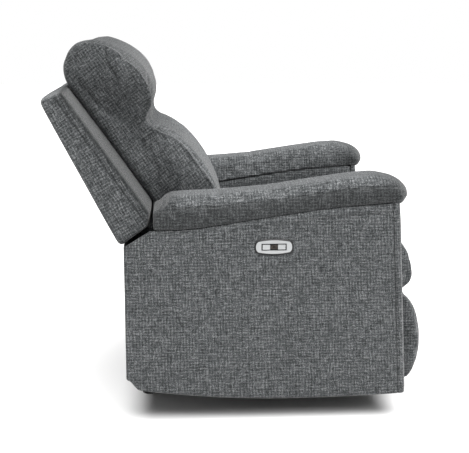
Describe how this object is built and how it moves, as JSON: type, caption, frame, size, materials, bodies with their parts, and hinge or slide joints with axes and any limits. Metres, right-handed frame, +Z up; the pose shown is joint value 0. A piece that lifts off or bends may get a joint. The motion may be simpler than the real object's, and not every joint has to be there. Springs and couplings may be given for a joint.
{
  "type": "power recliner armchair",
  "caption": "Upholstered power rocker recliner with padded arms, headrest and lumbar cushions, a folding footrest on a steel linkage, and a side switch plate.",
  "frame": {"origin": "on the floor at the middle of the chair's bounding box, at rest with the footrest closed and the back upright", "axes": "+Z up; the sitter faces -Y; the sitter's right arm, with the switch plate, is at -X"},
  "size_m": [0.869, 1.0503, 1.0458],
  "materials": {
    "upholstery": "slate grey chenille tweed with a cross-hatched weave of light and dark threads",
    "black_steel": "satin black powder coat",
    "zinc_steel": "zinc plated stamped steel and spring wire",
    "plywood": "bare plywood",
    "black_plastic": "matte black moulded plastic",
    "silver_plastic": "satin silver painted plastic"
  },
  "bodies": {
    "base": {"base_frame": "black_steel", "foot_glide_front_right": "black_plastic", "foot_glide_front_left": "black_plastic", "foot_glide_rear_right": "black_plastic", "foot_glide_rear_left": "black_plastic"},
    "chassis": {"rocker_cam_right": "black_steel", "rocker_cam_left": "black_steel", "chassis_tube_front": "black_steel", "chassis_tube_rear": "black_steel", "arm_outer_panel_right": "upholstery", "arm_outer_panel_left": "upholstery", "arm_inner_panel_right": "upholstery", "arm_inner_panel_left": "upholstery", "arm_front_panel_right": "upholstery", "arm_front_panel_left": "upholstery", "arm_rear_panel_right": "upholstery", "arm_rear_panel_left": "upholstery", "arm_pad_right": "upholstery", "arm_pad_left": "upholstery", "rear_skirt_panel": "upholstery", "power_inlet": "black_plastic", "switch_plate": "silver_plastic", "switch_housing": "black_plastic", "usb_port": "black_plastic", "seat_track_right": "zinc_steel", "seat_track_left": "zinc_steel"},
    "recline_button": {"button_recline": "silver_plastic"},
    "return_button": {"button_return": "silver_plastic"},
    "seat_carriage": {"seat_plate_right": "black_steel", "seat_plate_left": "black_steel", "seat_frame": "plywood", "seat_springs": "zinc_steel", "seat_cushion": "upholstery", "drive_rail": "zinc_steel", "drive_motor": "black_plastic"},
    "drive_nut": {"drive_block": "black_plastic"},
    "drive_links": {"drive_link_right": "zinc_steel", "drive_link_left": "zinc_steel", "torque_tube": "black_steel"},
    "idler_links": {"idler_link_right": "zinc_steel", "idler_link_left": "zinc_steel"},
    "reach_links": {"reach_link_right": "zinc_steel", "reach_link_left": "zinc_steel"},
    "control_links": {"control_link_right": "zinc_steel", "control_link_left": "zinc_steel"},
    "footrest": {"footrest_bracket_right": "zinc_steel", "footrest_bracket_left": "zinc_steel", "footrest_board": "plywood", "footrest_pad": "upholstery"},
    "back": {"back_side_board_right": "upholstery", "back_side_board_left": "upholstery", "back_rear_board": "upholstery", "back_bottom_rail": "plywood", "back_front_board": "upholstery", "back_springs": "zinc_steel", "back_lower_board": "upholstery", "lumbar_cushion": "upholstery", "headrest_cushion": "upholstery", "back_bracket_right": "zinc_steel", "back_bracket_left": "zinc_steel"}
  },
  "joints": [
    {"name": "rock", "type": "hinge", "parent": "base", "child": "chassis", "pos_m": [0, 0.02, 0.6653], "axis": [1, 0, 0], "range_deg": [-8, 4], "stiffness_Nm_per_rad": 420},
    {"name": "recline_button_press", "type": "slide", "parent": "chassis", "child": "recline_button", "axis": [1, 0, 0], "range_m": [0, 0.0015], "stiffness_N_per_m": 300},
    {"name": "return_button_press", "type": "slide", "parent": "chassis", "child": "return_button", "axis": [1, 0, 0], "range_m": [0, 0.0015], "stiffness_N_per_m": 300},
    {"name": "back_recline", "type": "hinge", "parent": "seat_carriage", "child": "back", "pos_m": [0, 0.262, 0.34], "axis": [-1, 0, 0], "range_deg": [0, 28]},
    {"name": "seat_slide", "type": "slide", "parent": "chassis", "child": "seat_carriage", "axis": [0, -1, 0], "range_m": [0, 0.03]},
    {"name": "footrest_extend", "type": "hinge", "parent": "seat_carriage", "child": "drive_links", "pos_m": [0, -0.21612, 0.32994], "axis": [-1, 0, 0], "range_deg": [0, 88]},
    {"name": "idler_swing", "type": "hinge", "parent": "seat_carriage", "child": "idler_links", "pos_m": [0, -0.14095, 0.30257], "axis": [-1, 0, 0], "range_deg": [0, 88]},
    {"name": "reach_swing", "type": "hinge", "parent": "drive_links", "child": "reach_links", "pos_m": [0, -0.17128, 0.09925], "axis": [1, 0, 0], "range_deg": [0, 88]},
    {"name": "control_swing", "type": "hinge", "parent": "drive_links", "child": "control_links", "pos_m": [0, -0.1627, 0.05508], "axis": [1, 0, 0], "range_deg": [0, 88]},
    {"name": "footrest_turn", "type": "hinge", "parent": "reach_links", "child": "footrest", "pos_m": [0, -0.425, 0.1916], "axis": [-1, 0, 0], "range_deg": [0, 88]},
    {"name": "drive_travel", "type": "slide", "parent": "seat_carriage", "child": "drive_nut", "axis": [0, -1, 0], "range_m": [0, 0.111]}
  ],
  "couplings": [
    {"joint": "seat_slide", "follows": "back_recline", "m_per_rad": 0.061387},
    {"joint": "idler_swing", "follows": "footrest_extend", "ratio": 1},
    {"joint": "reach_swing", "follows": "footrest_extend", "ratio": 1},
    {"joint": "control_swing", "follows": "footrest_extend", "ratio": 1},
    {"joint": "footrest_turn", "follows": "footrest_extend", "ratio": 1},
    {"joint": "drive_travel", "follows": "footrest_extend", "m_per_rad": 0.07227}
  ]
}
